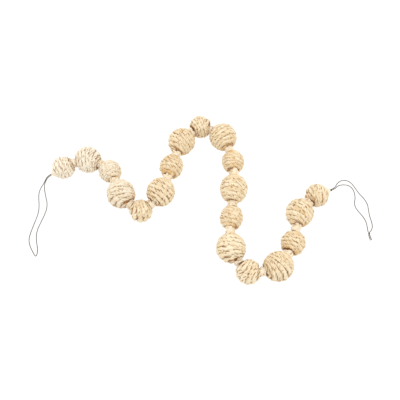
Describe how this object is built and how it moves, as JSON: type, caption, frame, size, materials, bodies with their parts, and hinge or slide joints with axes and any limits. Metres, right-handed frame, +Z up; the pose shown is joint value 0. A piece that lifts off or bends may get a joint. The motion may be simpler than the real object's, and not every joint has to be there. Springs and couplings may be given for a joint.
{
  "type": "rope ball garland",
  "caption": "Garland of balls wound from twisted straw rope, large and small by turns, laid in a wave, with a twine hanging loop at each end.",
  "frame": {"origin": "on the table, under the middle of the box of the balls and the rope between them, the twine loops left out", "axes": "+Z up from the table, +X from the garland's left end to its right end, +Y away from the viewer"},
  "size_m": [0.6917, 0.3735, 0.0579],
  "materials": {
    "straw_rope": "dry pale straw, matt with a faint sheen on the blades",
    "pale_straw_rope": "dry pale straw, matt",
    "twine": "two-ply taupe twine, matt"
  },
  "bodies": {
    "root": {"ball_01": "straw_rope", "ball_02": "straw_rope", "ball_03": "straw_rope", "ball_04": "straw_rope", "ball_05": "straw_rope", "ball_06": "straw_rope", "ball_07": "straw_rope", "ball_08": "straw_rope", "ball_09": "straw_rope", "ball_10": "straw_rope", "ball_11": "straw_rope", "ball_12": "straw_rope", "ball_13": "straw_rope", "ball_14": "straw_rope", "ball_15": "straw_rope", "ball_16": "straw_rope", "ball_17": "straw_rope", "ball_18": "straw_rope", "ball_19": "straw_rope", "link_01": "pale_straw_rope", "link_02": "pale_straw_rope", "link_03": "pale_straw_rope", "link_04": "pale_straw_rope", "link_05": "pale_straw_rope", "link_06": "pale_straw_rope", "link_07": "pale_straw_rope", "link_08": "pale_straw_rope", "link_09": "pale_straw_rope", "link_10": "pale_straw_rope", "link_11": "pale_straw_rope", "link_12": "pale_straw_rope", "link_13": "pale_straw_rope", "link_14": "pale_straw_rope", "link_15": "pale_straw_rope", "link_16": "pale_straw_rope", "link_17": "pale_straw_rope", "link_18": "pale_straw_rope", "neck_left": "pale_straw_rope", "neck_right": "pale_straw_rope", "stop_knot_right": "twine", "loop_left": "twine", "loop_right_outer": "twine", "loop_right_inner": "twine", "loop_knot_right": "twine", "tail_right_outer": "twine", "tail_right_inner": "twine"}
  },
  "joints": []
}
